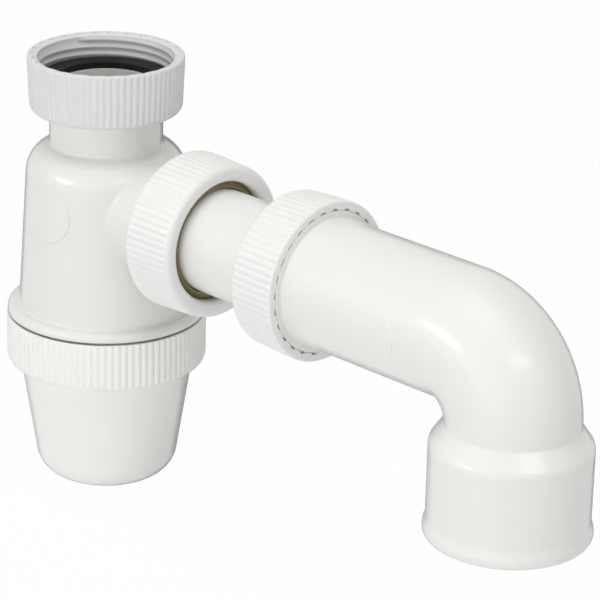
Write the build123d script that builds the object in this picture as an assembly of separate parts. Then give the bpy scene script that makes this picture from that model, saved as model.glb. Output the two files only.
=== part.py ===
from build123d import *
import os

# Basin bottle trap with a swivelling outlet bend, in millimetres.
# +Z is up along the inlet and +X runs along the outlet. The origin lies on the inlet
# axis, at the foot of the free thread inside the inlet nut.

# Shared sizes
PIPE_RADIUS = 16.0
THREAD_BORE = 21.0
THREAD_RADIUS = 20.7
GRIP_COUNT = 72
GRIP_WIDTH = 1.15
GRIP_DEPTH = 0.5
GRIP_END_GAP = 2.3
GRIP_OVERRUN = 1.0
NOTCH_COUNT = 27
NOTCH_WIDTH = 2.0
NOTCH_REACH = 0.5
NOTCH_DEPTH = 1.2
OUTLET_Z = -40.2

# Inlet nut and its washer
INLET_NUT_TOP = 6.7
INLET_NUT_FOOT = -10.6
INLET_NUT_MOUTH_RADIUS = 24.15
INLET_NUT_FOOT_RADIUS = 23.45
INLET_NUT_LIP = 3.0
INLET_NUT_LIP_HOLE = 17.85
INLET_RELIEF_BORE = 20.7
THREAD_FOOT = -0.2
NUT_MOUTH_BORE = 22.1
NUT_MOUTH_DEPTH = 1.1
NUT_CORNER = 2.2
NUT_HOLE_ROUND = 1.1
WASHER_TOP = -0.5
WASHER_THICKNESS = 2.3
WASHER_RADIUS = 20.4
WASHER_HOLE = 15.1

# Trap body
NECK_RADIUS = 17.5
NECK_BORE = 14.4
NECK_FLANGE_RADIUS = 20.2
NECK_FLANGE_FOOT = -7.3
NECK_FOOT = -21.3
SHOULDER_EDGE = (24.45, -24.2)
SHOULDER_ROUND = 10.0
NECK_FOOT_ROUND = 1.0
BODY_FOOT_ROUND = 1.0
WALL = 2.3
BODY_FOOT_RADIUS = 27.3
FLANGE_TOP = -73.45
FLANGE_FOOT = -76.0
FLANGE_RADIUS = 30.9
FLANGE_ROUND = 2.0
SKIRT_RADIUS = 27.9
SKIRT_FOOT = -89.0
SKIRT_BORE = 25.2
DIP_TUBE_RADIUS = 15.3
DIP_TUBE_END_RADIUS = 14.7
DIP_TUBE_END_BORE = 12.9
DIP_TUBE_FOOT = -92.0
CHAMBER_TOP = -27.5

# Outlet spigot on the body, measured along the outlet from the inlet axis
SPIGOT_NECK_RADIUS = 17.0
SPIGOT_ROOT_ROUND = 1.2
SPIGOT_BORE = 14.5
SPIGOT_BORE_START = 16.6
SPIGOT_THREAD_START = 36.4
SPIGOT_END = 45.1
SOCKET_CLEARANCE = 0.3
SEAL_SEAT_RADIUS = 18.9
SEAL_SEAT_DEPTH = 3.5

# Slip nuts, rings and cone seals on the connecting tube
SLIP_NUT_LENGTH = 16.9
SLIP_NUT_MOUTH_RADIUS = 24.4
SLIP_NUT_END_RADIUS = 23.7
SLIP_NUT_LIP = 3.8
SLIP_NUT_HOLE = 18.8
SLIP_NUT_MOUTH_BORE = 21.7
SLIP_NUT_MOUTH_DEPTH = 2.2
OUTLET_NUT_FACE = 51.9
BEND_NUT_FACE = 78.3
SLIP_RING_RADIUS = 20.6
SLIP_RING_THICKNESS = 1.5
SLIP_RING_HOLE = 16.3
SLIP_RING_NOSE = 18.5
SLIP_RING_NOSE_LENGTH = 1.5
CONE_SEAL_LENGTH = 4.4
CONE_SEAL_RIM = 1.5
CONE_SEAL_RADIUS = 18.6
CONE_SEAL_NOSE = 16.5
CONE_SEAL_HOLE = 16.1
TUBE_START = 37.0
TUBE_END = 99.0
TUBE_BORE = 14.1
TUBE_CHAMFER = 0.8

# Outlet bend
BEND_MOUTH = 85.1
BEND_FLANGE_START = 93.8
BEND_FLANGE_END = 95.3
BEND_FLANGE_RADIUS = 21.4
BEND_PIPE_RADIUS = 19.42
BEND_BORE = 16.6
BEND_TURN_RADIUS = 20.5
BEND_REACH = 167.0
BEND_FLANGE_EDGE = 0.3
BEND_FLANGE_ROUND = 0.5

# Outlet socket at the foot of the bend, for a plain 40 mm waste pipe
WASTE_SOCKET_RADIUS = 23.35
WASTE_SOCKET_BORE = 20.15
WASTE_SOCKET_TOP = -66.9
WASTE_SOCKET_FOOT = -95.4
WASTE_SOCKET_STOP = -70.4
WASTE_MOUTH_CHAMFER = 1.0
BEAD_RADIUS = 24.15
BEAD_TOP = -89.6
BEAD_SLOPE = 2.6
BEAD_SLOPE_ROUND = 3.0
BEAD_ROUND = 2.4
FLARE_DROP = 0.5
FLARE_TOP_ROUND = 1.0
FLARE_ROUND = 4.0

# Bottle cup, its grip collar and its seal
COLLAR_RADIUS = 31.25
COLLAR_TOP = -76.9
COLLAR_FOOT = -92.9
COLLAR_ROUND = 2.8
COLLAR_BORE = 28.3
COLLAR_GRIP_COUNT = 90
COLLAR_LEDGE = -90.6
CUP_NECK_ROUND = 0.8
CUP_RADIUS = 27.1
CUP_EDGE_RADIUS = 21.1
CUP_EDGE_ROUND = 8.5
CUP_FOOT = -131.2
CUP_WALL = 2.2
CUP_SEAL_RADIUS = 27.9
CUP_SEAL_HOLE = 25.2

ON_OUTLET = Pos(0, 0, OUTLET_Z) * Rot(0, 90, 0)


def turned(points, rounds=None):
    """A solid turned about Z from (radius, height) points, with rounds by point number."""
    face = make_face(Polyline(*points, close=True))
    for index, radius in (rounds or {}).items():
        corner = face.vertices().sort_by_distance(Vector(*points[index]))[0]
        face = fillet(corner, radius)
    return revolve(Plane.XZ * face, Axis.Z)


def ring(outer, inner, low, high):
    """A plain washer about Z."""
    return turned([(inner, low), (outer, low), (outer, high), (inner, high)])


def grip_grooves(count, start, end):
    """V grooves set evenly round a wall that rises from one (radius, height) to another."""
    slope = Vector(end[0] - start[0], 0, end[1] - start[1])
    seat = Plane(
        origin=(start[0], 0, start[1]),
        x_dir=(slope.Z, 0, -slope.X),
        z_dir=slope.normalized(),
    )
    section = Polyline(
        (GRIP_DEPTH, -GRIP_WIDTH),
        (GRIP_DEPTH, GRIP_WIDTH),
        (-GRIP_DEPTH, 0),
        close=True,
    )
    groove = extrude(seat * make_face(section), slope.length)
    return [Rot(0, 0, 360 * turn / count) * groove for turn in range(count)]


def rim_notches(radius, height):
    """Small square notches set evenly round the inner edge of a nut's rim."""
    notch = Pos(radius, 0, height) * Box(2 * NOTCH_REACH, NOTCH_WIDTH, 2 * NOTCH_DEPTH)
    return [Rot(0, 0, 360 * turn / NOTCH_COUNT) * notch for turn in range(NOTCH_COUNT)]


def cap_nut(length, mouth, foot, hole, inside):
    """A ribbed cap nut standing on its closed face at zero height, open at the top.

    inside lists the (radius, height) points of its bore, from the rim down to the lip.
    """
    lip = inside[-1][1]
    profile = [(hole, 0), (foot, 0), (mouth, length), *inside, (hole, lip)]
    nut = turned(profile, {0: NUT_HOLE_ROUND, 1: NUT_CORNER})
    taper = (mouth - foot) / length
    grip_start = (foot + taper * GRIP_END_GAP, GRIP_END_GAP)
    grip_end = (mouth + taper * GRIP_OVERRUN, length + GRIP_OVERRUN)
    grooves = grip_grooves(GRIP_COUNT, grip_start, grip_end)
    return nut - grooves - rim_notches(*inside[0])


def make_inlet_nut():
    """The captive nut that screws up onto the basin waste."""
    length = INLET_NUT_TOP - INLET_NUT_FOOT
    thread_foot = THREAD_FOOT - INLET_NUT_FOOT
    inside = [
        (NUT_MOUTH_BORE, length),
        (THREAD_BORE, length - NUT_MOUTH_DEPTH),
        (THREAD_BORE, thread_foot),
        (INLET_RELIEF_BORE, thread_foot),
        (INLET_RELIEF_BORE, INLET_NUT_LIP),
    ]
    nut = cap_nut(length, INLET_NUT_MOUTH_RADIUS, INLET_NUT_FOOT_RADIUS, INLET_NUT_LIP_HOLE, inside)
    return Pos(0, 0, INLET_NUT_FOOT) * nut


def make_slip_nut():
    """One slip nut, standing on its closed face at zero height."""
    thread_top = SLIP_NUT_LENGTH - SLIP_NUT_MOUTH_DEPTH
    inside = [
        (SLIP_NUT_MOUTH_BORE, SLIP_NUT_LENGTH),
        (SLIP_NUT_MOUTH_BORE, thread_top),
        (THREAD_BORE, thread_top),
        (THREAD_BORE, SLIP_NUT_LIP),
    ]
    return cap_nut(SLIP_NUT_LENGTH, SLIP_NUT_MOUTH_RADIUS, SLIP_NUT_END_RADIUS, SLIP_NUT_HOLE, inside)


def seal_stack():
    """The slip ring, its nose in a slip nut's hole, and the cone seal above it."""
    ring_foot = SLIP_NUT_LIP
    seal_foot = ring_foot + SLIP_RING_THICKNESS
    seal_top = seal_foot + CONE_SEAL_LENGTH
    slip_ring = turned([
        (SLIP_RING_HOLE, ring_foot - SLIP_RING_NOSE_LENGTH),
        (SLIP_RING_NOSE, ring_foot - SLIP_RING_NOSE_LENGTH),
        (SLIP_RING_NOSE, ring_foot),
        (SLIP_RING_RADIUS, ring_foot),
        (SLIP_RING_RADIUS, seal_foot),
        (SLIP_RING_HOLE, seal_foot),
    ])
    cone_seal = turned([
        (CONE_SEAL_HOLE, seal_foot),
        (CONE_SEAL_RADIUS, seal_foot),
        (CONE_SEAL_RADIUS, seal_foot + CONE_SEAL_RIM),
        (CONE_SEAL_NOSE, seal_top),
        (CONE_SEAL_HOLE, seal_top),
    ])
    return slip_ring, cone_seal


def make_spigot():
    """The outlet spigot, turned about Z from the inlet axis outwards, before boring."""
    neck = Cylinder(SPIGOT_NECK_RADIUS, SPIGOT_END, align=(Align.CENTER, Align.CENTER, Align.MIN))
    return neck + ring(THREAD_RADIUS, SPIGOT_BORE, SPIGOT_THREAD_START, SPIGOT_END)


def spigot_bore():
    """The way through the outlet spigot: waterway, tube socket and cone seat."""
    socket = PIPE_RADIUS + SOCKET_CLEARANCE
    return turned([
        (0, SPIGOT_BORE_START),
        (SPIGOT_BORE, SPIGOT_BORE_START),
        (SPIGOT_BORE, SPIGOT_THREAD_START),
        (socket, SPIGOT_THREAD_START),
        (socket, SPIGOT_END - SEAL_SEAT_DEPTH),
        (SEAL_SEAT_RADIUS, SPIGOT_END),
        (0, SPIGOT_END),
    ])


def make_trap_body():
    """Neck, shoulder, conical bottle, dip tube, outlet spigot and cup thread in one moulding."""
    neck_top = WASHER_TOP - WASHER_THICKNESS
    shell = turned(
        [
            (0, neck_top),
            (NECK_FLANGE_RADIUS, neck_top),
            (NECK_FLANGE_RADIUS, NECK_FLANGE_FOOT),
            (NECK_RADIUS, NECK_FLANGE_FOOT),
            (NECK_RADIUS, NECK_FOOT),
            SHOULDER_EDGE,
            (BODY_FOOT_RADIUS, FLANGE_TOP),
            (FLANGE_RADIUS, FLANGE_TOP),
            (FLANGE_RADIUS, FLANGE_FOOT),
            (SKIRT_RADIUS, FLANGE_FOOT),
            (SKIRT_RADIUS, SKIRT_FOOT),
            (0, SKIRT_FOOT),
        ],
        {4: NECK_FOOT_ROUND, 5: SHOULDER_ROUND, 6: BODY_FOOT_ROUND, 7: FLANGE_ROUND},
    )
    chamber = turned(
        [
            (DIP_TUBE_RADIUS, CHAMBER_TOP),
            (SHOULDER_EDGE[0] - WALL, CHAMBER_TOP),
            (BODY_FOOT_RADIUS - WALL, FLANGE_TOP),
            (SKIRT_BORE, SKIRT_FOOT),
            (DIP_TUBE_END_RADIUS, SKIRT_FOOT),
        ],
        {1: SHOULDER_ROUND - 2 * WALL},
    )
    dip_end = turned([
        (0, SKIRT_FOOT),
        (DIP_TUBE_END_RADIUS, SKIRT_FOOT),
        (DIP_TUBE_END_RADIUS, DIP_TUBE_FOOT),
        (0, DIP_TUBE_FOOT),
    ])
    waterway = turned([
        (0, neck_top),
        (NECK_BORE, neck_top),
        (DIP_TUBE_END_BORE, DIP_TUBE_FOOT),
        (0, DIP_TUBE_FOOT),
    ])
    outside = shell + ON_OUTLET * make_spigot()
    root = [edge for edge in outside.edges() if edge.geom_type == GeomType.BSPLINE]
    outside = fillet(root, SPIGOT_ROOT_ROUND)
    return outside + dip_end - chamber - waterway - ON_OUTLET * spigot_bore()


def make_inlet_washer():
    """The flat rubber washer on the neck rim."""
    return ring(WASHER_RADIUS, WASHER_HOLE, WASHER_TOP - WASHER_THICKNESS, WASHER_TOP)


def make_bottle_cup():
    """The screw-off cup with its ribbed collar."""
    cup = turned(
        [
            (0, COLLAR_LEDGE),
            (COLLAR_BORE, COLLAR_LEDGE),
            (COLLAR_BORE, COLLAR_TOP),
            (COLLAR_RADIUS, COLLAR_TOP),
            (COLLAR_RADIUS, COLLAR_FOOT),
            (CUP_RADIUS, COLLAR_FOOT),
            (CUP_EDGE_RADIUS, CUP_FOOT),
            (0, CUP_FOOT),
        ],
        {4: COLLAR_ROUND, 5: CUP_NECK_ROUND, 6: CUP_EDGE_ROUND},
    )
    hollow = turned(
        [
            (0, COLLAR_LEDGE),
            (CUP_RADIUS - CUP_WALL, COLLAR_LEDGE),
            (CUP_EDGE_RADIUS - CUP_WALL, CUP_FOOT + CUP_WALL),
            (0, CUP_FOOT + CUP_WALL),
        ],
        {2: CUP_EDGE_ROUND - CUP_WALL},
    )
    grip_start = (COLLAR_RADIUS, COLLAR_FOOT + COLLAR_ROUND)
    grip_end = (COLLAR_RADIUS, COLLAR_TOP + GRIP_OVERRUN)
    return cup - hollow - grip_grooves(COLLAR_GRIP_COUNT, grip_start, grip_end)


def make_connecting_tube():
    """The plain tube between the body and the bend."""
    return turned([
        (TUBE_BORE, TUBE_START),
        (PIPE_RADIUS - TUBE_CHAMFER, TUBE_START),
        (PIPE_RADIUS, TUBE_START + TUBE_CHAMFER),
        (PIPE_RADIUS, TUBE_END - TUBE_CHAMFER),
        (PIPE_RADIUS - TUBE_CHAMFER, TUBE_END),
        (TUBE_BORE, TUBE_END),
    ])


def elbow(radius):
    """A solid quarter bend from the outlet axis down onto the socket axis."""
    start = BEND_REACH - BEND_TURN_RADIUS
    section = Plane(origin=(start, 0, OUTLET_Z), z_dir=(1, 0, 0)) * Circle(radius)
    pivot = Axis((start, 0, OUTLET_Z - BEND_TURN_RADIUS), (0, 1, 0))
    return revolve(section, pivot, 90)


def make_outlet_bend():
    """Threaded mouth, flange, pipe, quarter bend and waste socket in one moulding."""
    pipe_end = BEND_REACH - BEND_TURN_RADIUS
    socket_axis = Pos(BEND_REACH, 0, 0)
    bend_foot = OUTLET_Z - BEND_TURN_RADIUS
    leg = turned(
        [
            (0, BEND_MOUTH),
            (THREAD_RADIUS, BEND_MOUTH),
            (THREAD_RADIUS, BEND_FLANGE_START),
            (BEND_FLANGE_RADIUS, BEND_FLANGE_START),
            (BEND_FLANGE_RADIUS, BEND_FLANGE_END),
            (BEND_PIPE_RADIUS, BEND_FLANGE_END),
            (BEND_PIPE_RADIUS, pipe_end),
            (0, pipe_end),
        ],
        {4: BEND_FLANGE_EDGE, 5: BEND_FLANGE_ROUND},
    )
    drop = turned(
        [
            (0, bend_foot),
            (BEND_PIPE_RADIUS, bend_foot),
            (BEND_PIPE_RADIUS, bend_foot - FLARE_DROP),
            (WASTE_SOCKET_RADIUS, WASTE_SOCKET_TOP),
            (WASTE_SOCKET_RADIUS, BEAD_TOP),
            (BEAD_RADIUS, BEAD_TOP - BEAD_SLOPE),
            (BEAD_RADIUS, WASTE_SOCKET_FOOT),
            (0, WASTE_SOCKET_FOOT),
        ],
        {2: FLARE_TOP_ROUND, 3: FLARE_ROUND, 4: BEAD_SLOPE_ROUND, 5: BEAD_SLOPE_ROUND, 6: BEAD_ROUND},
    )
    mouth_bore = turned([
        (0, BEND_MOUTH),
        (SEAL_SEAT_RADIUS, BEND_MOUTH),
        (BEND_BORE, BEND_MOUTH + SEAL_SEAT_DEPTH),
        (BEND_BORE, pipe_end),
        (0, pipe_end),
    ])
    socket_bore = turned([
        (0, bend_foot),
        (BEND_BORE, bend_foot),
        (BEND_BORE, WASTE_SOCKET_STOP),
        (WASTE_SOCKET_BORE, WASTE_SOCKET_STOP),
        (WASTE_SOCKET_BORE, WASTE_SOCKET_FOOT + WASTE_MOUTH_CHAMFER),
        (WASTE_SOCKET_BORE + WASTE_MOUTH_CHAMFER, WASTE_SOCKET_FOOT),
        (0, WASTE_SOCKET_FOOT),
    ])
    outside = ON_OUTLET * leg + elbow(BEND_PIPE_RADIUS) + socket_axis * drop
    inside = ON_OUTLET * mouth_bore + elbow(BEND_BORE) + socket_axis * socket_bore
    return outside - inside


def build_nodes():
    """Every piece by name, in place."""
    slip_nut = make_slip_nut()
    slip_ring, cone_seal = seal_stack()
    towards_body = ON_OUTLET * Pos(0, 0, OUTLET_NUT_FACE) * Rot(180, 0, 0)
    towards_bend = ON_OUTLET * Pos(0, 0, BEND_NUT_FACE)
    return {
        "trap_body": make_trap_body(),
        "inlet_nut": make_inlet_nut(),
        "inlet_washer": make_inlet_washer(),
        "bottle_cup": make_bottle_cup(),
        "cup_seal": ring(CUP_SEAL_RADIUS, CUP_SEAL_HOLE, COLLAR_LEDGE, SKIRT_FOOT),
        "outlet_nut": towards_body * slip_nut,
        "outlet_slip_ring": towards_body * slip_ring,
        "outlet_cone_seal": towards_body * cone_seal,
        "connecting_tube": ON_OUTLET * make_connecting_tube(),
        "bend_nut": towards_bend * slip_nut,
        "bend_slip_ring": towards_bend * slip_ring,
        "bend_cone_seal": towards_bend * cone_seal,
        "outlet_bend": make_outlet_bend(),
    }


os.makedirs("parts", exist_ok=True)
for node_name, solid in build_nodes().items():
    export_step(solid, f"parts/{node_name}.step")
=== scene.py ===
"""Looks of a white plastic basin trap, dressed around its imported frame, in metres."""

import logging
import math
from dataclasses import dataclass
from enum import Enum
from typing import Any, Callable, Dict, List, Optional, Sequence, Tuple, Union

import bpy
from bpy.types import Material, Object
from mathutils import Matrix, Vector


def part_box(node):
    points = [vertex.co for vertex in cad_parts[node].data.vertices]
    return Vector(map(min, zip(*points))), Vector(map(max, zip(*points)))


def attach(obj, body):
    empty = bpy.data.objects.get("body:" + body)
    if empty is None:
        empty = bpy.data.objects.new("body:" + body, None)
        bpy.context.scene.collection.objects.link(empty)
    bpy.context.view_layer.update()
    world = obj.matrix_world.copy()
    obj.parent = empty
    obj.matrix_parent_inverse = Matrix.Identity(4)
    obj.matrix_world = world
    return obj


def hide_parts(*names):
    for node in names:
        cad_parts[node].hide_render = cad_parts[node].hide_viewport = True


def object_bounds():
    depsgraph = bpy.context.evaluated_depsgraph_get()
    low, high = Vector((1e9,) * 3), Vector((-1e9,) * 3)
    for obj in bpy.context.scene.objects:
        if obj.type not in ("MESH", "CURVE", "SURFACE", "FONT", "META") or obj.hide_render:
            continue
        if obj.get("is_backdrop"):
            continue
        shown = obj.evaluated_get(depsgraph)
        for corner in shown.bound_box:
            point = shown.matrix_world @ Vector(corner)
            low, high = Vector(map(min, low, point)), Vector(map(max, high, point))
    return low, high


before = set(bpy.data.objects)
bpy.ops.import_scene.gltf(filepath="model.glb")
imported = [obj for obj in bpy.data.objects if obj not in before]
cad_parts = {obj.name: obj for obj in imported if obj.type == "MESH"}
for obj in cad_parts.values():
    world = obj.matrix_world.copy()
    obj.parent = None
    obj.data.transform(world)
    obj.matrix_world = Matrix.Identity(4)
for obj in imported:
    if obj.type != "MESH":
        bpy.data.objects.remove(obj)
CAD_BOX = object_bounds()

LOG = logging.getLogger("basin_trap")

MM = 0.001
FULL_TURN = 2 * math.pi
QUARTER_TURN = math.radians(90)
NOISE_MIDDLE = 0.5
ORIGIN = (0.0, 0.0, 0.0)
UP = (0.0, 0.0, 1.0)
SAME_PLACE = 1e-6
SMOOTH_BELOW = math.radians(50)

Colour = Tuple[float, float, float]
Test = Callable[[Vector], bool]

WHITE: Colour = (1.0, 1.0, 1.0)


class Slot(Enum):
    """Material slots of the part's record."""

    BODY = "body_plastic"
    NUT = "nut_plastic"
    WASHER = "washer_rubber"
    SEAL = "seal_rubber"
    RING = "ring_plastic"


class Carrier(Enum):
    """Bodies that a piece can ride on."""

    TRAP = "trap"
    INLET_NUT = "inlet_nut"
    CUP = "bottle_cup"
    OUTLET_RING = "outlet_slip_ring"
    OUTLET_NUT = "outlet_nut"
    BEND_RING = "bend_slip_ring"
    BEND_NUT = "bend_nut"
    BEND = "outlet_bend"


class Facing(Enum):
    """Ways that a piece turned about Z is set into the trap."""

    UPWARDS = Matrix.Identity(4)
    TO_BODY = Matrix.Rotation(-QUARTER_TURN, 4, "Y")
    TO_BEND = Matrix.Rotation(QUARTER_TURN, 4, "Y")


class Cut(Enum):
    """Ways that one solid changes another."""

    JOIN = "UNION"
    TAKE_AWAY = "DIFFERENCE"


# Shader sheets

class Tone:
    """A shader value that Python arithmetic turns into Math nodes."""

    def __init__(self, sheet: "NodeSheet", socket: bpy.types.NodeSocket) -> None:
        """Wraps one output socket.

        Args:
            sheet: the sheet that the socket's node lies on.
            socket: the output socket.
        """
        self.sheet = sheet
        self.socket = socket

    def _math(self, operation: str, first: "Operand", second: "Operand") -> "Tone":
        """Adds one Math node.

        Args:
            operation: the Math node's operation.
            first: its first operand.
            second: its second operand.

        Returns:
            The node's result.
        """
        return self.sheet.node("ShaderNodeMath", {"operation": operation}, {0: first, 1: second})

    def __add__(self, other: "Operand") -> "Tone":
        """self + other."""
        return self._math("ADD", self, other)

    def __radd__(self, other: "Operand") -> "Tone":
        """other + self."""
        return self._math("ADD", other, self)

    def __sub__(self, other: "Operand") -> "Tone":
        """self - other."""
        return self._math("SUBTRACT", self, other)

    def __mul__(self, other: "Operand") -> "Tone":
        """self * other."""
        return self._math("MULTIPLY", self, other)

    def __rmul__(self, other: "Operand") -> "Tone":
        """other * self."""
        return self._math("MULTIPLY", other, self)


Operand = Union[Tone, float]


class NodeSheet:
    """A sheet of shader nodes."""

    def __init__(self, owner: Union[Material, bpy.types.World]) -> None:
        """Starts an empty sheet.

        Args:
            owner: the material or world that the sheet belongs to.
        """
        owner.use_nodes = True
        self.owner = owner
        self.tree = owner.node_tree
        self.tree.nodes.clear()

    def node(
        self,
        kind: str,
        settings: Optional[Dict[str, Any]] = None,
        inputs: Optional[Dict[Union[str, int], Any]] = None,
        output: Union[str, int] = 0,
    ) -> Tone:
        """Adds a node of any kind.

        Args:
            kind: the node's type.
            settings: its own settings, set first; "stops" gives a ramp's places and greys.
            inputs: values or links of its sockets, by name or number.
            output: the output to hand back.

        Returns:
            That output as a tone.
        """
        made = self.tree.nodes.new(kind)
        for key, value in (settings or {}).items():
            if key == "stops":
                self._set_stops(made, value)
            else:
                setattr(made, key, value)
        for key, value in (inputs or {}).items():
            socket = made.inputs[key]
            if isinstance(value, Tone):
                self.tree.links.new(value.socket, socket)
            elif isinstance(value, tuple) and socket.type == "RGBA":
                socket.default_value = (*value, 1.0)
            else:
                socket.default_value = value
        return Tone(self, made.outputs[output] if made.outputs else None)

    @staticmethod
    def _set_stops(ramp: bpy.types.Node, stops: Sequence[Tuple[float, float]]) -> None:
        """Sets the stops of a colour ramp.

        Args:
            ramp: the ramp node.
            stops: each stop's place and grey.
        """
        elements = ramp.color_ramp.elements
        while len(elements) < len(stops):
            elements.new(1.0)
        for element, (place, grey) in zip(elements, stops):
            element.position = place
            element.color = (grey, grey, grey, 1.0)

    def backdrop(self) -> Tone:
        """Tells the rays that should see the white backdrop from those that carry light.

        Returns:
            1 for camera, glossy and transmission rays, 0 for the others.
        """
        kinds = ("Is Camera Ray", "Is Glossy Ray", "Is Transmission Ray")
        seen, mirrored, through = (self.node("ShaderNodeLightPath", output=kind) for kind in kinds)
        return seen + mirrored + through


class FinishSheet(NodeSheet):
    """The node sheet of one material."""

    def __init__(self, name: str) -> None:
        """Starts an empty sheet.

        Args:
            name: the material's name.
        """
        super().__init__(bpy.data.materials.new(name))

    def place(self) -> Tone:
        """The surface point in the piece's own coordinates."""
        return self.node("ShaderNodeTexCoord", output="Object")

    def cloud(self, size: float, detail: float = 2.0, stretch: Vector = Vector((1, 1, 1))) -> Tone:
        """Soft noise about one half.

        Args:
            size: the noise's size in metres.
            detail: its finer octaves.
            stretch: how much finer it runs along each axis.

        Returns:
            The noise's value.
        """
        spread = self.node("ShaderNodeMapping", inputs={"Vector": self.place(), "Scale": stretch})
        inputs = {"Vector": spread, "Scale": 1 / size, "Detail": detail}
        return self.node("ShaderNodeTexNoise", inputs=inputs)

    def mixed(self, share: Operand, first: Colour, second: Colour) -> Tone:
        """A colour between two.

        Args:
            share: how much of the second shows.
            first: the first colour.
            second: the second colour.

        Returns:
            The mixed colour.
        """
        inputs = {0: share, 6: first, 7: second}
        return self.node("ShaderNodeMix", {"data_type": "RGBA"}, inputs, 2)

    def bump(self, height: Tone, depth: float, strength: float) -> Tone:
        """A normal bent by a height.

        Args:
            height: the height, from 0 to 1.
            depth: what 1 stands for, in metres.
            strength: the bump's strength.

        Returns:
            The normal.
        """
        inputs = {"Height": height, "Distance": depth, "Strength": strength}
        return self.node("ShaderNodeBump", inputs=inputs)

    def finish(self, shader: Tone) -> Material:
        """Sends a shader to the sheet's output.

        Args:
            shader: the shader.

        Returns:
            The finished material.
        """
        self.node("ShaderNodeOutputMaterial", inputs={"Surface": shader})
        return self.owner


@dataclass(frozen=True)
class PlasticFinish:
    """Moulded polypropylene: a faint cloudiness, flow streaks and a fine moulded skin."""

    name: str
    tint: Colour
    deep_tint: Colour
    roughness: float
    roughness_swing: float = 0.06
    cloud_size: float = 22 * MM
    cloud_share: float = 0.65
    streak_size: float = 9 * MM
    streak_detail: float = 3.0
    streak_stretch: Tuple[float, float, float] = (1.0, 1.0, 0.2)
    skin_size: float = 0.7 * MM
    skin_detail: float = 1.0
    skin_share: float = 0.7
    skin_depth: float = 0.012 * MM
    skin_strength: float = 0.5
    ior: float = 1.49
    coat: float = 0.3
    coat_roughness: float = 0.18

    def make(self) -> Material:
        """Builds the material.

        Returns:
            The material.
        """
        sheet = FinishSheet(self.name)
        cloud = sheet.cloud(self.cloud_size)
        streak = sheet.cloud(self.streak_size, self.streak_detail, Vector(self.streak_stretch))
        skin = sheet.cloud(self.skin_size, self.skin_detail)
        depth_of_tint = self.cloud_share * cloud + (1 - self.cloud_share) * streak
        height = self.skin_share * skin + (1 - self.skin_share) * cloud
        shader = sheet.node(
            "ShaderNodeBsdfPrincipled",
            inputs={
                "Base Color": sheet.mixed(depth_of_tint, self.tint, self.deep_tint),
                "Roughness": self.roughness + self.roughness_swing * (streak - NOISE_MIDDLE),
                "Normal": sheet.bump(height, self.skin_depth, self.skin_strength),
                "IOR": self.ior,
                "Coat Weight": self.coat,
                "Coat Roughness": self.coat_roughness,
            },
        )
        return sheet.finish(shader)


@dataclass(frozen=True)
class RubberFinish:
    """Dark moulded rubber with a greyish bloom and a matt grain."""

    name: str
    tint: Colour
    bloom: Colour
    roughness: float
    roughness_swing: float = 0.15
    shine: float = 0.5
    bloom_size: float = 4 * MM
    bloom_detail: float = 4.0
    bloom_start: float = 0.4
    bloom_full: float = 0.75
    grain_size: float = 0.5 * MM
    grain_depth: float = 0.03 * MM
    grain_strength: float = 0.6

    def make(self) -> Material:
        """Builds the material.

        Returns:
            The material.
        """
        sheet = FinishSheet(self.name)
        bloom = sheet.cloud(self.bloom_size, self.bloom_detail)
        stops = ((self.bloom_start, 0.0), (self.bloom_full, 1.0))
        patches = sheet.node("ShaderNodeValToRGB", {"stops": stops}, {"Fac": bloom})
        grain = sheet.cloud(self.grain_size)
        shader = sheet.node(
            "ShaderNodeBsdfPrincipled",
            inputs={
                "Base Color": sheet.mixed(patches, self.tint, self.bloom),
                "Roughness": self.roughness + self.roughness_swing * (grain - NOISE_MIDDLE),
                "Normal": sheet.bump(grain, self.grain_depth, self.grain_strength),
                "Specular IOR Level": self.shine,
            },
        )
        return sheet.finish(shader)


@dataclass(frozen=True)
class FloorFinish:
    """A pale floor that looks white and still takes a soft shadow."""

    name: str = "studio_floor"
    tint: Colour = (0.86, 0.86, 0.86)
    white_share: float = 0.97

    def make(self) -> Material:
        """Builds the material.

        Returns:
            The material.
        """
        sheet = FinishSheet(self.name)
        paper = sheet.node("ShaderNodeBsdfDiffuse", inputs={"Color": self.tint})
        white = sheet.node("ShaderNodeEmission", inputs={"Color": WHITE, "Strength": 1.0})
        share = self.white_share * sheet.backdrop()
        return sheet.finish(sheet.node("ShaderNodeMixShader", inputs={0: share, 1: paper, 2: white}))


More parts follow.
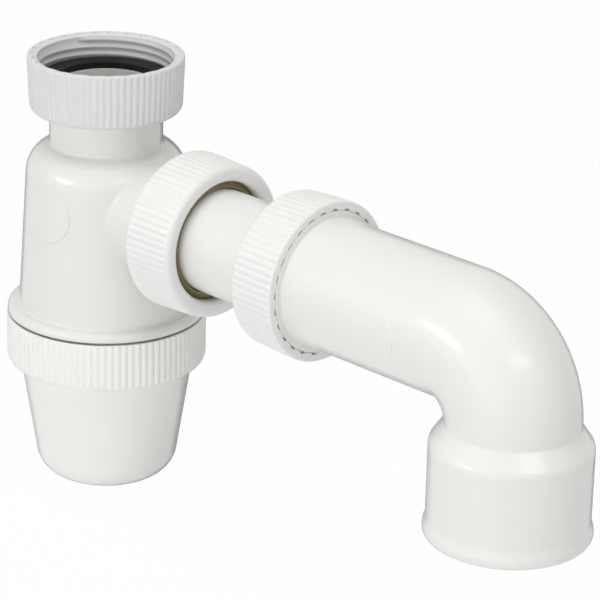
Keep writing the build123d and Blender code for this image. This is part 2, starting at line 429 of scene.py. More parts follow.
class Finishes:
    """Every finish on the trap, made once."""

    def __init__(self) -> None:
        """Makes the materials, by record slot and for the pieces that depart from their slot."""
        self.by_slot: Dict[Slot, Material] = {
            Slot.BODY: PlasticFinish(
                "ivory_body_plastic",
                tint=(0.812, 0.812, 0.798), deep_tint=(0.782, 0.782, 0.77),
                roughness=0.34, coat=0.25, coat_roughness=0.1,
            ).make(),
            Slot.NUT: PlasticFinish(
                "cool_nut_plastic",
                tint=(0.845, 0.848, 0.84), deep_tint=(0.81, 0.815, 0.81),
                roughness=0.42, coat=0.08,
            ).make(),
            Slot.WASHER: RubberFinish(
                "black_washer_rubber",
                tint=(0.004, 0.004, 0.004), bloom=(0.012, 0.012, 0.013),
                roughness=0.55, shine=0.25,
            ).make(),
            Slot.SEAL: RubberFinish(
                "dark_seal_rubber",
                tint=(0.016, 0.016, 0.014), bloom=(0.035, 0.034, 0.03),
                roughness=0.6,
            ).make(),
            # The friction ring is real; its dark olive colour is painted shade, the warm shade deep in
            # the slip nut's hole.
            Slot.RING: RubberFinish(
                "ring_plastic_painted_cavity_shade",
                tint=(0.22, 0.185, 0.07), bloom=(0.27, 0.23, 0.095),
                roughness=0.5,
            ).make(),
        }
        # The trap body's tint is a shade darker and greyer than the ivory plastic: painted shade on
        # the upper part of the trap.
        self.trap_body = PlasticFinish(
            "grey_white_body_painted_shade",
            tint=(0.79, 0.79, 0.775), deep_tint=(0.76, 0.76, 0.745),
            roughness=0.32, coat=0.55, coat_roughness=0.05,
        ).make()
        # The cup's tint is lighter than the ivory plastic: painted light on the low, front-lit cup.
        self.cup = PlasticFinish(
            "white_cup_painted_light",
            tint=(0.88, 0.88, 0.865), deep_tint=(0.85, 0.85, 0.835),
            roughness=0.32,
        ).make()
        # The inlet nut's tint is darker than the other nuts': painted shade on the nut at the top of
        # the trap.
        self.inlet_nut = PlasticFinish(
            "blue_grey_inlet_nut_painted_shade",
            tint=(0.715, 0.727, 0.723), deep_tint=(0.68, 0.695, 0.693),
            roughness=0.45, coat=0.05,
        ).make()


# Hand tools

@dataclass(frozen=True)
class Corner:
    """One corner of a turned outline, with its round and the steps of that round."""

    radius: float
    height: float
    round: float = 0.0
    steps: int = 4


class Bench:
    """Hand tools that the pieces share."""

    @staticmethod
    def clear() -> None:
        """Leaves edit mode and lets go of every object."""
        if bpy.context.object and bpy.context.object.mode != "OBJECT":
            bpy.ops.object.mode_set(mode="OBJECT")
        bpy.ops.object.select_all(action="DESELECT")

    @staticmethod
    def hold(obj: Object) -> None:
        """Makes one object the only one in hand.

        Args:
            obj: the object.
        """
        Bench.clear()
        obj.select_set(True)
        bpy.context.view_layer.objects.active = obj

    @staticmethod
    def pick(obj: Object, test: Test) -> int:
        """Selects the points that pass a test, in edit mode.

        Args:
            obj: the object in hand.
            test: says whether a point is wanted.

        Returns:
            How many points are selected.
        """
        bpy.ops.object.mode_set(mode="OBJECT")
        mesh = obj.data
        chosen = [bool(test(point.co)) for point in mesh.vertices]
        mesh.polygons.foreach_set("select", [False] * len(mesh.polygons))
        mesh.edges.foreach_set("select", [False] * len(mesh.edges))
        mesh.vertices.foreach_set("select", chosen)
        bpy.ops.object.mode_set(mode="EDIT")
        bpy.ops.mesh.select_mode(type="VERT")
        return sum(chosen)

    @staticmethod
    def points(obj: Object) -> List[Vector]:
        """Reads the points of the object in hand, which stays in edit mode.

        Args:
            obj: the object in hand.

        Returns:
            A copy of each point.
        """
        bpy.ops.object.mode_set(mode="OBJECT")
        found = [point.co.copy() for point in obj.data.vertices]
        bpy.ops.object.mode_set(mode="EDIT")
        return found

    @staticmethod
    def draw(name: str, corners: Sequence[Corner]) -> Object:
        """Draws a closed outline beside the Z axis by extruding one point, then rounds its corners.

        Args:
            name: the object's name.
            corners: the outline's corners in order.

        Returns:
            The object, left in edit mode.
        """
        Bench.clear()
        bpy.ops.mesh.primitive_plane_add(size=MM)
        obj = bpy.context.object
        obj.name = name
        obj.data.name = name
        bpy.ops.object.mode_set(mode="EDIT")
        bpy.ops.mesh.select_all(action="SELECT")
        bpy.ops.mesh.merge(type="CENTER")
        bpy.ops.transform.translate(value=(corners[0].radius, 0, corners[0].height))
        for last, corner in zip(corners, corners[1:]):
            step = (corner.radius - last.radius, 0, corner.height - last.height)
            bpy.ops.mesh.extrude_region_move(TRANSFORM_OT_translate={"value": step})
        Bench.pick(obj, Bench.at(corners[0], corners[-1]))
        bpy.ops.mesh.edge_face_add()
        for number, corner in enumerate(corners):
            if corner.round:
                after = corners[(number + 1) % len(corners)]
                Bench.round_corner(obj, corners[number - 1], corner, after)
        return obj

    @staticmethod
    def at(*corners: Corner) -> Test:
        """Makes a test for the points that lie at given corners.

        Args:
            corners: the corners.

        Returns:
            The test.
        """

        def test(point: Vector) -> bool:
            """Whether a point lies at one of the corners."""
            return any(
                abs(point.x - corner.radius) < SAME_PLACE and abs(point.z - corner.height) < SAME_PLACE
                for corner in corners
            )

        return test

    @staticmethod
    def round_corner(obj: Object, before: Corner, corner: Corner, after: Corner) -> None:
        """Rounds one corner of a drawn outline to its radius.

        Args:
            obj: the outline.
            before: the corner before it.
            corner: the corner to round.
            after: the corner after it.
        """
        back = Vector((before.radius - corner.radius, before.height - corner.height))
        ahead = Vector((after.radius - corner.radius, after.height - corner.height))
        reach = corner.round / math.tan(back.angle(ahead) / 2)
        Bench.pick(obj, Bench.at(corner))
        bpy.ops.mesh.bevel(
            offset=reach, segments=corner.steps, profile=0.5, affect="VERTICES", clamp_overlap=False
        )

    @staticmethod
    def turn(obj: Object, steps: int, angle: float = FULL_TURN) -> None:
        """Spins an outline about Z.

        Args:
            obj: the outline in hand.
            steps: the steps of the spin.
            angle: how far it spins.
        """
        Bench.pick(obj, lambda point: True)
        bpy.ops.mesh.spin(steps=steps, angle=angle, center=ORIGIN, axis=UP)

    @staticmethod
    def repeat(obj: Object, count: int) -> None:
        """Copies what is drawn evenly round Z.

        Args:
            obj: the object in hand.
            count: how many there are in the end.
        """
        Bench.pick(obj, lambda point: True)
        angle = FULL_TURN * (count - 1) / count
        bpy.ops.mesh.spin(steps=count - 1, angle=angle, dupli=True, center=ORIGIN, axis=UP)

    @staticmethod
    def close(obj: Object) -> None:
        """Merges seams and poles, turns every face outwards and leaves edit mode.

        Args:
            obj: the object in hand.
        """
        Bench.pick(obj, lambda point: True)
        bpy.ops.mesh.remove_doubles(threshold=SAME_PLACE)
        bpy.ops.mesh.normals_make_consistent(inside=False)
        bpy.ops.object.mode_set(mode="OBJECT")

    @staticmethod
    def carve(obj: Object, tool: Object, cut: Cut) -> None:
        """Joins a solid to an object or takes it away, and removes the solid.

        Args:
            obj: the object that is changed.
            tool: the solid.
            cut: what is done with it.
        """
        Bench.hold(obj)
        step = obj.modifiers.new(cut.name, "BOOLEAN")
        step.operation = cut.value
        step.solver = "EXACT"
        step.object = tool
        bpy.ops.object.modifier_apply(modifier=step.name)
        bpy.data.objects.remove(tool)

    @staticmethod
    def set_down(obj: Object, place: Matrix) -> None:
        """Moves a finished piece into the trap, with its place in its mesh.

        Args:
            obj: the piece.
            place: where it goes.
        """
        Bench.hold(obj)
        obj.matrix_world = place
        bpy.ops.object.transform_apply(location=True, rotation=True, scale=True)

    @staticmethod
    def soften(obj: Object) -> None:
        """Shades a piece smooth, apart from its sharp edges."""
        Bench.hold(obj)
        bpy.ops.object.shade_smooth_by_angle(angle=SMOOTH_BELOW)


def bearing(point: Vector) -> float:
    """The angle of a point round Z, without its sign."""
    return abs(math.atan2(point.y, point.x))


def spread(point: Vector) -> float:
    """The distance of a point from Z."""
    return math.hypot(point.x, point.y)


@dataclass(frozen=True)
class GripRibs:
    """Upright ribs round a moulding, modelled as one groove between two half ribs."""

    count: int
    depth: float
    shares: Tuple[float, ...] = (0.0, 0.03, 0.25, 0.75, 1.0, 0.75, 0.25, 0.03, 0.0)
    slack_share: float = 0.25

    def make(
        self, name: str, corners: Sequence[Corner], wall: Tuple[Corner, Corner]
    ) -> Object:
        """Turns an outline with grip grooves into a closed solid.

        Args:
            name: the object's name.
            corners: the outline.
            wall: the ends of the straight wall that the grooves run along.

        Returns:
            The solid, in object mode.
        """
        obj = Bench.draw(name, corners)
        points = Bench.points(obj)
        steps = len(self.shares) - 1
        pitch = FULL_TURN / self.count
        foot, top = wall
        slope = (top.radius - foot.radius) / (top.height - foot.height)
        Bench.turn(obj, steps, pitch)
        for column, share in enumerate(self.shares):
            for point in points:
                floor = foot.radius + slope * (point.z - foot.height) - self.depth * share
                if share and point.x > floor:
                    self._press(obj, point, pitch * column / steps, floor / point.x)
        Bench.repeat(obj, self.count)
        Bench.close(obj)
        return obj

    def _press(self, obj: Object, point: Vector, angle: float, scale: float) -> None:
        """Presses one point of one column of the groove inwards.

        Args:
            obj: the sector in hand.
            point: where the point lies on the outline.
            angle: the column's bearing.
            scale: how far it is pressed.
        """
        slack = self.slack_share * FULL_TURN / self.count / len(self.shares)

        def wanted(other: Vector) -> bool:
            """Whether a point is the one to press."""
            level = abs(other.z - point.z) < SAME_PLACE and abs(spread(other) - point.x) < SAME_PLACE
            return level and abs(bearing(other) - angle) < slack

        Bench.pick(obj, wanted)
        bpy.ops.transform.resize(value=(scale, scale, 1), center_override=ORIGIN)


@dataclass(frozen=True)
class ScrewThread:
    """A right-handed helical ridge on a wall turned about Z."""

    root: float
    crest: float
    pitch: float
    turns: float
    start_height: float
    start_bearing: float
    base_width: float
    crest_width: float
    bury: float = 0.1 * MM
    steps_per_turn: int = 96
    fade: float = 0.05
    fade_steps: int = 5
    fade_depth: float = 0.98

    def make(self, name: str) -> Object:
        """Builds the ridge as a closed solid whose ends fade into the wall.

        Args:
            name: the object's name.

        Returns:
            The ridge, in object mode.
        """
        buried = self.root + math.copysign(self.bury, self.root - self.crest)
        half_base = self.base_width / 2
        half_crest = self.crest_width / 2
        obj = Bench.draw(
            name,
            [
                Corner(buried, self.start_height - half_base),
                Corner(self.crest, self.start_height - half_crest),
                Corner(self.crest, self.start_height + half_crest),
                Corner(buried, self.start_height + half_base),
            ],
        )
        bpy.ops.object.mode_set(mode="OBJECT")
        helix = obj.modifiers.new("Helix", "SCREW")
        helix.axis = "Z"
        helix.angle = FULL_TURN * self.turns
        helix.screw_offset = self.pitch * self.turns
        helix.steps = round(self.steps_per_turn * self.turns)
        helix.render_steps = helix.steps
        helix.use_smooth_shade = False
        bpy.ops.object.modifier_apply(modifier=helix.name)
        for number in range(self.fade_steps):
            self._fade(obj, number, buried)
        bpy.ops.object.mode_set(mode="EDIT")
        bpy.ops.mesh.select_all(action="DESELECT")
        bpy.ops.mesh.select_non_manifold()
        bpy.ops.mesh.edge_face_add()
        Bench.close(obj)
        Bench.set_down(obj, Matrix.Rotation(self.start_bearing, 4, "Z"))
        return obj

    def _along(self, point: Vector) -> float:
        """Finds a point's place along the helix.

        Args:
            point: a point of the ridge.

        Returns:
            Its distance from the start, in turns.
        """
        angle = math.atan2(point.y, point.x) % FULL_TURN / FULL_TURN
        return angle + round((point.z - self.start_height) / self.pitch - angle)

    def _fade(self, obj: Object, number: int, buried: float) -> None:
        """Presses one section at each end of the ridge into the wall.

        Args:
            obj: the ridge.
            number: the section, counted from the end.
            buried: the radius of the ridge's hidden foot.
        """
        low = self.fade * (number - 0.5) / self.fade_steps
        high = self.fade * (number + 0.5) / self.fade_steps
        share = math.cos(QUARTER_TURN * number / self.fade_steps) * self.fade_depth

        def wanted(point: Vector) -> bool:
            """Whether a crest point lies in that section at either end."""
            along = self._along(point)
            inside = low <= along < high or low <= self.turns - along < high
            return inside and abs(spread(point) - self.crest) < SAME_PLACE

        if Bench.pick(obj, wanted):
            scale = 1 + (buried - self.crest) * share / self.crest
            bpy.ops.transform.resize(value=(scale, scale, 1), center_override=ORIGIN)
        bpy.ops.object.mode_set(mode="OBJECT")


# Pieces

@dataclass
class MouldedPiece:
    """A new piece that stands for a CAD node or is added to one."""

    name: str
    carrier: Carrier
    slot: Slot
    material: Material
    node: Optional[str] = None
    facing: Facing = Facing.UPWARDS
    seat: Vector = Vector()

    def dress(self, obj: Object) -> Object:
        """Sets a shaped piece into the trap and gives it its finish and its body.

        Args:
            obj: the shaped piece.

        Returns:
            The same piece.
        """
        Bench.set_down(obj, Matrix.Translation(self.seat) @ self.facing.value)
        Bench.soften(obj)
        obj.data.materials.clear()
        obj.data.materials.append(self.material)
        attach(obj, self.carrier.value)
        if self.node:
            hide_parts(self.node)
        LOG.info("%s rides on %s with %d faces", obj.name, self.carrier.value, len(obj.data.polygons))
        return obj


@dataclass
class RimNotches:
    """Small notches round the inner edge of a nut's rim."""

    radius: float
    height: float
    count: int = 27
    width: float = 2.4 * MM
    reach: float = 0.65 * MM
    depth: float = 1.2 * MM
    taper: float = 0.85

    def cut(self, obj: Object) -> None:
        """Cuts the notches into a nut that stands on its closed face.

        Args:
            obj: the nut.
        """
        Bench.clear()
        bpy.ops.mesh.primitive_cube_add(size=1)
        tool = bpy.context.object
        bpy.ops.object.mode_set(mode="EDIT")
        size = (2 * self.reach, self.width, 2 * self.depth)
        bpy.ops.transform.resize(value=size, center_override=ORIGIN)
        middle = (self.radius, 0, self.height)
        bpy.ops.transform.translate(value=middle)
        Bench.pick(tool, lambda point: point.x > self.radius)
        bpy.ops.transform.resize(value=(1, self.taper, 1), center_override=middle)
        Bench.repeat(tool, self.count)
        bpy.ops.object.mode_set(mode="OBJECT")
        Bench.carve(obj, tool, Cut.TAKE_AWAY)


@dataclass
class CapNut(MouldedPiece):
    """A ribbed cap nut, modelled standing on its closed face."""

    length: float = 0.0
    foot_radius: float = 0.0
    mouth_radius: float = 0.0
    hole: float = 0.0
    bore: float = 21.0 * MM
    lip: float = 3.8 * MM
    mouth_bore: float = 21.44 * MM
    mouth_depth: float = 2.2 * MM
    chamfered_mouth: bool = False
    foot_round: float = 2.2 * MM
    hole_round: float = 1.1 * MM
    rim_round: float = 0.8 * MM
    edge_round: float = 0.2 * MM
    notch_depth: float = 1.2 * MM
    ribs: GripRibs = GripRibs(72, 0.42 * MM)
    thread: Optional[ScrewThread] = None

    def outline(self) -> List[Corner]:
        """Lays out the nut's section.

        Returns:
            Its corners, from the hole round the outside and down the bore.
        """
        mouth_foot = self.length - self.mouth_depth
        step = [] if self.chamfered_mouth else [Corner(self.mouth_bore, mouth_foot)]
        return [
            Corner(self.hole, 0, self.hole_round, steps=6),
            Corner(self.foot_radius, 0, self.foot_round, steps=10),
            Corner(self.mouth_radius, self.length, self.rim_round, steps=5),
            Corner(self.mouth_bore, self.length, self.edge_round, steps=2),
            *step,
            Corner(self.bore, mouth_foot),
            Corner(self.bore, self.lip),
            Corner(self.hole, self.lip, self.edge_round, steps=2),
        ]

    def build(self) -> Object:
        """Models the nut and dresses it.

        Returns:
            The nut.
        """
        outline = self.outline()
        obj = self.ribs.make(self.name, outline, (outline[1], outline[2]))
        RimNotches(self.mouth_bore, self.length, depth=self.notch_depth).cut(obj)
        if self.thread:
            Bench.carve(obj, self.thread.make(self.name + "_thread"), Cut.JOIN)
        return self.dress(obj)


@dataclass
class BottleCup(MouldedPiece):
    """The screw-off cup with its ribbed collar, modelled in place."""

    foot: float = 0.0
    collar_top: float = 0.0
    collar_radius: float = 0.0
    collar_foot: float = -92.9 * MM
    collar_round: float = 2.8 * MM
    collar_bore: float = 28.3 * MM
    collar_land: float = 1.1 * MM
    collar_chamfer: float = 2.0 * MM
    ledge: float = -90.6 * MM
    neck_round: float = 0.8 * MM
    wall_top_radius: float = 27.1 * MM
    wall_foot_radius: float = 21.1 * MM
    foot_round: float = 8.5 * MM
    wall: float = 2.2 * MM
    edge_round: float = 0.4 * MM
    gate_radius: float = 2.4 * MM
    gate_depth: float = 0.5 * MM
    ribs: GripRibs = GripRibs(90, 0.42 * MM)

    def outline(self) -> List[Corner]:
        """Lays out the cup's section.

        Returns:
            Its corners, from the middle of the underside round the outside and down inside.
        """
        inner_foot = self.foot + self.wall
        inner_radius = self.wall_foot_radius - self.wall
        inner_round = self.foot_round - self.wall
        land = self.collar_radius - self.collar_land
        return [
            Corner(0, self.foot + self.gate_depth),
            Corner(self.gate_radius, self.foot + self.gate_depth, self.edge_round, steps=3),
            Corner(self.gate_radius + self.gate_depth, self.foot, self.edge_round, steps=3),
            Corner(self.wall_foot_radius, self.foot, self.foot_round, steps=14),
            Corner(self.wall_top_radius, self.collar_foot, self.neck_round),
            Corner(self.collar_radius, self.collar_foot, self.collar_round, steps=12),
            Corner(self.collar_radius, self.collar_top, self.edge_round, steps=3),
            Corner(land, self.collar_top, self.edge_round, steps=3),
            Corner(self.collar_bore, self.collar_top - self.collar_chamfer),
            Corner(self.collar_bore, self.ledge),
            Corner(self.wall_top_radius - self.wall, self.ledge),
            Corner(inner_radius, inner_foot, inner_round, steps=10),
            Corner(0, inner_foot),
        ]

    def build(self) -> Object:
        """Models the cup and dresses it."""
        outline = self.outline()
        return self.dress(self.ribs.make(self.name, outline, (outline[5], outline[6])))


@dataclass
class FlatRing(MouldedPiece):
    """A turned ring with softly rounded edges."""

    inner: float = 0.0
    outer: float = 0.0
    low: float = 0.0
    high: float = 0.0
    edge_round: float = 0.4 * MM
    steps: int = 160

    def outline(self) -> List[Corner]:
        """Lays out the ring's section.

        Returns:
            Its corners.
        """
        return [
            Corner(self.inner, self.low, self.edge_round),
            Corner(self.outer, self.low, self.edge_round),
            Corner(self.outer, self.high, self.edge_round),
            Corner(self.inner, self.high, self.edge_round),
        ]

    def build(self) -> Object:
        """Models the ring and dresses it.

        Returns:
            The ring.
        """
        obj = Bench.draw(self.name, self.outline())
        Bench.turn(obj, self.steps)
        Bench.close(obj)
        return self.dress(obj)


@dataclass
class FrictionRing(FlatRing):
    """A ring with a tapered nose that stands in the hole of its slip nut."""

    nose_tip: float = 16.9 * MM
    nose_root: float = 18.3 * MM
    nose_length: float = 1.4 * MM
    nose_round: float = 0.15 * MM

    def outline(self) -> List[Corner]:
        """Lays out the ring's section, with its nose.

        Returns:
            Its corners.
        """
        tip = self.low - self.nose_length
        return [
            Corner(self.inner, tip, self.nose_round),
            Corner(self.nose_tip, tip, self.nose_round),
            Corner(self.nose_root, self.low),
            Corner(self.outer, self.low),
            *super().outline()[2:],
        ]


@dataclass
class RaisedThread(MouldedPiece):
    """A thread ridge that stands on a CAD moulding."""

    thread: Optional[ScrewThread] = None

    def build(self) -> Object:
        """Models the ridge and dresses it."""
        return self.dress(self.thread.make(self.name))


@dataclass
class PlainPad(MouldedPiece):
    """A plain round pad, raised a little from the curved wall that it lies on."""

    wall_node: str = ""
    centre: Vector = Vector()
    radius: float = 8.15 * MM
    height: float = 0.3 * MM
    rim: float = 0.7 * MM
    stand_off: float = 20 * MM
    sides: int = 96
    rings: int = 7
    edge_steps: int = 3
    edge_above: float = math.radians(60)

    def build(self) -> Object:
        """Models the pad as a disc laid onto the wall, thickens it and dresses it.

        Returns:
            The pad.
        """
        Bench.clear()
        place = self.centre - Vector((0, self.stand_off, 0))
        bpy.ops.mesh.primitive_circle_add(vertices=self.sides, radius=self.radius, fill_type="NGON")
        obj = bpy.context.object
        obj.name = self.name
        obj.data.name = self.name
        bpy.ops.object.mode_set(mode="EDIT")
        bpy.ops.mesh.select_mode(type="FACE")
        bpy.ops.mesh.select_all(action="SELECT")
        bpy.ops.mesh.inset(thickness=self.rim)
        for _ in range(self.rings - 1):
            bpy.ops.mesh.inset(thickness=(self.radius - self.rim) / self.rings)
        bpy.ops.mesh.poke()
        bpy.ops.object.mode_set(mode="OBJECT")
        Bench.set_down(obj, Matrix.Translation(place) @ Matrix.Rotation(QUARTER_TURN, 4, "X"))
        self._lay_on_wall(obj)
        return self.dress(obj)

    def _lay_on_wall(self, obj: Object) -> None:
        """Presses the disc onto its wall along Y and gives it its thickness.

        Args:
            obj: the flat disc.
        """
        Bench.hold(obj)
        lay = obj.modifiers.new("Lay", "SHRINKWRAP")
        lay.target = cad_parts[self.wall_node]
        lay.wrap_method = "PROJECT"
        lay.use_project_y = True
        lay.use_positive_direction = True
        lay.use_negative_direction = False
        bpy.ops.object.modifier_apply(modifier=lay.name)
        thicken = obj.modifiers.new("Thicken", "SOLIDIFY")
        thicken.thickness = 2 * self.height
        thicken.offset = 0.0
        bpy.ops.object.modifier_apply(modifier=thicken.name)
        edge = obj.modifiers.new("Edge", "BEVEL")
        edge.width = self.height / 2
        edge.segments = self.edge_steps
        edge.angle_limit = self.edge_above
        bpy.ops.object.modifier_apply(modifier=edge.name)


class CadMouldings:
    """CAD nodes whose shape stays as it is and which take a finish."""

    def __init__(self, finishes: Finishes) -> None:
        """Picks each node's finish.

        Args:
            finishes: the trap's finishes.
        """
        ivory = finishes.by_slot[Slot.BODY]
        seal = finishes.by_slot[Slot.SEAL]
        self.materials: Dict[str, Material] = {
            "trap_body": finishes.trap_body,
            "connecting_tube": ivory,
            "outlet_bend": ivory,
            "cup_seal": seal,
            "outlet_cone_seal": seal,
            "bend_cone_seal": seal,
        }

    def dress(self) -> None:
        """Gives each kept node its finish."""
        for name, material in self.materials.items():
            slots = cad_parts[name].data.materials
            slots.clear()
            slots.append(material)
            LOG.info("%s keeps its CAD shape with %s", name, material.name)


class BasinTrap:
    """The whole trap: its new pieces and its kept mouldings."""

    OUTLET_FOOT: Vector = Vector((0, 0, -40.2 * MM))
    INLET_PITCH: float = 2.309 * MM
    RING_THICKNESS: float = 1.5 * MM

    def __init__(self, finishes: Finishes) -> None:
        """Keeps the finishes at hand.

        Args:
            finishes: the trap's finishes.
        """
        self.finishes = finishes

    def build(self) -> None:
        """Builds every piece in order."""
        CadMouldings(self.finishes).dress()
        self.inlet()
        self.cup()
        self.slip_nuts()
        self.threads()
        self.pads()

    def inlet(self) -> None:
        """The captive nut and its washer."""
        low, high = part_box("inlet_nut")
        thread = ScrewThread(
            root=21.0 * MM,
            crest=20.42 * MM,
            pitch=self.INLET_PITCH,
            turns=2.5,
            start_height=-0.71 * MM - low.z,
            start_bearing=math.radians(-8),
            base_width=2.2 * MM,
            crest_width=0.6 * MM,
            bury=0.3 * MM,
        )
        CapNut(
            name="inlet_cap_nut",
            carrier=Carrier.INLET_NUT,
            slot=Slot.NUT,
            material=self.finishes.inlet_nut,
            node="inlet_nut",
            seat=Vector((0, 0, low.z)),
            length=high.z - low.z,
            foot_radius=23.45 * MM,
            mouth_radius=24.15 * MM,
            hole=17.85 * MM,
            lip=3.0 * MM,
            mouth_bore=22.3 * MM,
            mouth_depth=0.8 * MM,
            chamfered_mouth=True,
            notch_depth=0.3 * MM,
            ribs=GripRibs(72, 0.34 * MM),
            thread=thread,
        ).build()
        low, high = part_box("inlet_washer")
        FlatRing(
            name="rubber_washer",
            carrier=Carrier.TRAP,
            slot=Slot.WASHER,
            material=self.finishes.by_slot[Slot.WASHER],
            node="inlet_washer",
            inner=15.1 * MM,
            outer=high.x,
            low=low.z,
            high=high.z,
        ).build()

    def cup(self) -> None:
        """The screw-off cup."""
        low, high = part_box("bottle_cup")
        BottleCup(
            name="screw_cup",
            carrier=Carrier.CUP,
            slot=Slot.BODY,
            material=self.finishes.cup,
            node="bottle_cup",
            foot=low.z,
            collar_top=high.z,
            collar_radius=-low.x,
        ).build()

    def slip_nuts(self) -> None:
        """The two slip nuts on the connecting tube, each with its friction ring behind its lip."""
        stacks = (
            (Carrier.OUTLET_NUT, Carrier.OUTLET_RING, Facing.TO_BODY),
            (Carrier.BEND_NUT, Carrier.BEND_RING, Facing.TO_BEND),
        )
        for carrier, ring, facing in stacks:
            low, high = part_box(carrier.value)
            reach = high.x if facing is Facing.TO_BODY else low.x
            face = self.OUTLET_FOOT + Vector((reach, 0, 0))
            nut = CapNut(
                name=carrier.value.replace("_nut", "_slip_nut"),
                carrier=carrier,
                slot=Slot.NUT,
                material=self.finishes.by_slot[Slot.NUT],
                node=carrier.value,
                facing=facing,
                seat=face,
                length=high.x - low.x,
                foot_radius=23.7 * MM,
                mouth_radius=24.4 * MM,
                hole=18.6 * MM,
                hole_round=1.7 * MM,
            )
            nut.build()
            FrictionRing(
                name=ring.value.replace("_slip_ring", "_friction_ring"),
                carrier=ring,
                slot=Slot.RING,
                material=self.finishes.by_slot[Slot.RING],
                node=ring.value,
                inner=16.3 * MM,
                outer=20.6 * MM,
                low=nut.lip,
                high=nut.lip + self.RING_THICKNESS,
                facing=facing,
                seat=face,
            ).build()

    def threads(self) -> None:
        """The thread ridges that show where a nut or the cup is undone."""
        body, ivory = self.finishes.trap_body, self.finishes.by_slot[Slot.BODY]
        skirt = ScrewThread(
            root=27.9 * MM,
            crest=28.15 * MM,
            pitch=4.0 * MM,
            turns=2.2,
            start_height=-87.2 * MM,
            start_bearing=0.0,
            base_width=1.6 * MM,
            crest_width=0.9 * MM,
        )
        RaisedThread("cup_thread", Carrier.TRAP, Slot.BODY, body, thread=skirt).build()
        ridges = (
            ("spigot_thread", Carrier.TRAP, body, 37.5 * MM),
            ("bend_thread", Carrier.BEND, ivory, 86.0 * MM),
        )
        for name, carrier, material, start in ridges:
            thread = ScrewThread(
                root=20.7 * MM,
                crest=20.88 * MM,
                pitch=2.33 * MM,
                turns=3.0,
                start_height=start,
                start_bearing=0.0,
                base_width=1.2 * MM,
                crest_width=0.6 * MM,
            )
            place = {"facing": Facing.TO_BEND, "seat": self.OUTLET_FOOT}
            RaisedThread(name, carrier, Slot.BODY, material, thread=thread, **place).build()

    def pads(self) -> None:
        """The plain round pads on the body and the bend."""
        body, ivory = self.finishes.trap_body, self.finishes.by_slot[Slot.BODY]
        pads = (
            ("body_pad", Carrier.TRAP, body, "trap_body", (1.3, -25.5, -39.6)),
            ("bend_pad", Carrier.BEND, ivory, "outlet_bend", (130.3, -19.2, -40.6)),
        )
        for name, carrier, material, wall, place in pads:
            centre = Vector(place) * MM
            PlainPad(name, carrier, Slot.BODY, material, wall_node=wall, centre=centre).build()


# Studio

@dataclass(frozen=True)
class SoftLamp:
    """A soft lamp aimed at the trap, which either lights it or is only mirrored in its gloss."""

    name: str
    bearing_deg: float
    height_deg: float
    distance: float
    width: float
    length: float
    power: float
    tint: Colour = WHITE
    mirrored: bool = False

    def hang(self, target: Vector) -> None:
        """Hangs the lamp.

        Args:
            target: the point that it faces.
        """
        data = bpy.data.lights.new(self.name, "AREA")
        data.shape = "ELLIPSE"
        data.size = self.width
        data.size_y = self.length
        data.energy = self.power
        data.color = self.tint
        lamp = bpy.data.objects.new(self.name, data)
        bpy.context.scene.collection.objects.link(lamp)
        back = Studio.direction(self.bearing_deg, self.height_deg)
        lamp.location = target + back * self.distance
        lamp.rotation_mode = "QUATERNION"
        lamp.rotation_quaternion = back.to_track_quat("Z", "Y")
        lamp.visible_glossy = self.mirrored
        lamp.visible_diffuse = not self.mirrored


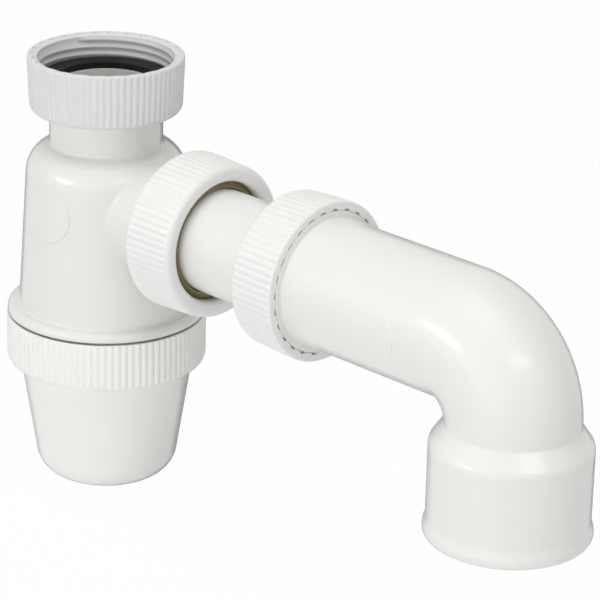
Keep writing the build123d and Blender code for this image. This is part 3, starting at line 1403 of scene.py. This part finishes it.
@dataclass(frozen=True)
class EdgeFlag:
    """A dark card behind the trap, seen only as the dark line that it draws along glossy edges."""

    name: str = "edge_flag"
    distance: float = 2.5
    radius: float = 1.6
    left_grey: float = 0.25
    grey_until: float = 0.2
    black_from: float = 0.55

    def finish(self) -> Material:
        """Builds the card's material, black on its right and grey on its left.

        Returns:
            The material.
        """
        sheet = FinishSheet(self.name)
        across = sheet.node("ShaderNodeSeparateXYZ", inputs={0: sheet.place()})
        stops = ((self.grey_until, self.left_grey), (self.black_from, 0.0))
        share = 0.5 + across * (0.5 / self.radius)
        grey = sheet.node("ShaderNodeValToRGB", {"stops": stops}, {"Fac": share})
        return sheet.finish(sheet.node("ShaderNodeEmission", inputs={"Color": grey, "Strength": 1.0}))

    def stand(self, target: Vector, axes: Matrix) -> None:
        """Stands the card square to the camera, where no camera ray sees it.

        Args:
            target: the point that the camera faces.
            axes: the camera's axes.
        """
        Bench.clear()
        bpy.ops.mesh.primitive_circle_add(radius=self.radius, fill_type="NGON")
        card = bpy.context.object
        card.name = self.name
        behind = Matrix.Translation((0, 0, -self.distance))
        card.matrix_world = Matrix.Translation(target) @ axes @ behind
        card.data.materials.append(self.finish())
        card.visible_camera = False
        card.visible_diffuse = False
        card.visible_shadow = False
        card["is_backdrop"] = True


class Studio:
    """Floor, world, lamps, edge flag and camera."""

    FLOOR_SIZE: float = 6.0
    FLOOR_GAP: float = 0.2 * MM
    WORLD_STRENGTH: float = 0.5
    CAMERA_BEARING: float = 43.838
    CAMERA_HEIGHT: float = 21.942
    CAMERA_ROLL: float = 1.353
    CAMERA_DISTANCE: float = 0.87884
    CAMERA_LENS: float = 179.94
    CAMERA_SENSOR: float = 36.0
    CAMERA_TARGET: Vector = Vector((84.211, 0.0, -49.091)) * MM
    # Each lamp's bearing, height, distance, width, length and power.
    LAMPS: Tuple[SoftLamp, ...] = (
        SoftLamp("low_front", 14, 5, 1.3, 0.8, 0.8, 6.6),
        SoftLamp("right_fill", 85, 30, 1.2, 0.5, 0.5, 0.55),
        SoftLamp("overhead", 20, 80, 1.2, 0.9, 0.9, 6.4, tint=(1.0, 0.985, 0.93)),
        SoftLamp("left_window", -20, 19, 1.1, 0.55, 0.2, 1.7, mirrored=True),
        SoftLamp("right_window", 78, 39, 1.1, 0.75, 0.15, 1.3, mirrored=True),
    )

    @staticmethod
    def direction(bearing_deg: float, height_deg: float) -> Vector:
        """Finds the direction out to a bearing and a height.

        Args:
            bearing_deg: the bearing, 0 being -Y and 90 being +X.
            height_deg: the height above the horizon.

        Returns:
            The direction, one metre long.
        """
        turn, rise = math.radians(bearing_deg), math.radians(height_deg)
        flat = math.cos(rise)
        return Vector((math.sin(turn) * flat, -math.cos(turn) * flat, math.sin(rise)))

    def build(self) -> None:
        """Sets up the whole studio."""
        self.floor()
        self.world()
        for lamp in self.LAMPS:
            lamp.hang(self.CAMERA_TARGET)
        axes = self.axes()
        EdgeFlag().stand(self.CAMERA_TARGET, axes)
        self.camera(axes)
        bpy.context.scene.view_settings.view_transform = "Standard"

    def floor(self) -> None:
        """A plain pale floor under the trap."""
        Bench.clear()
        level = CAD_BOX[0].z - self.FLOOR_GAP
        bpy.ops.mesh.primitive_plane_add(size=self.FLOOR_SIZE, location=(0, 0, level))
        floor = bpy.context.object
        floor.name = "floor"
        floor.data.materials.append(FloorFinish().make())
        floor.visible_glossy = False
        floor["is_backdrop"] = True

    def world(self) -> None:
        """An even white world, dimmer as light than as a backdrop."""
        bpy.context.scene.world = bpy.data.worlds.new("studio_world")
        sheet = NodeSheet(bpy.context.scene.world)
        strength = self.WORLD_STRENGTH + (1 - self.WORLD_STRENGTH) * sheet.backdrop()
        white = sheet.node("ShaderNodeBackground", inputs={"Color": WHITE, "Strength": strength})
        sheet.node("ShaderNodeOutputWorld", inputs={"Surface": white})

    def axes(self) -> Matrix:
        """Finds the camera's axes, at the photograph's viewing angle.

        Returns:
            Its right, its up and its back, as the columns of a turn.
        """
        back = self.direction(self.CAMERA_BEARING, self.CAMERA_HEIGHT)
        level = Vector(UP).cross(back).normalized()
        upright = back.cross(level)
        square = Matrix((level, upright, back)).transposed().to_4x4()
        return square @ Matrix.Rotation(math.radians(self.CAMERA_ROLL), 4, "Z")

    def camera(self, axes: Matrix) -> None:
        """Sets up the camera.

        Args:
            axes: its axes.
        """
        data = bpy.data.cameras.new("camera")
        data.lens = self.CAMERA_LENS
        data.sensor_width = self.CAMERA_SENSOR
        camera = bpy.data.objects.new("camera", data)
        bpy.context.scene.collection.objects.link(camera)
        stand = Matrix.Translation((0, 0, self.CAMERA_DISTANCE))
        camera.matrix_world = Matrix.Translation(self.CAMERA_TARGET) @ axes @ stand
        bpy.context.scene.camera = camera


def write_size() -> None:
    """Gathers the CAD box and the visual model's box side by side; nothing is kept or written."""
    boxes = {"cad": CAD_BOX, "visual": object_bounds()}
    {name: [list(corner) for corner in box] for name, box in boxes.items()}


def main() -> None:
    """Builds the trap, then the studio."""
    logging.basicConfig(level=logging.INFO, format="%(name)s: %(message)s")
    BasinTrap(Finishes()).build()
    Studio().build()
    write_size()


if __name__ == "__main__":
    main()
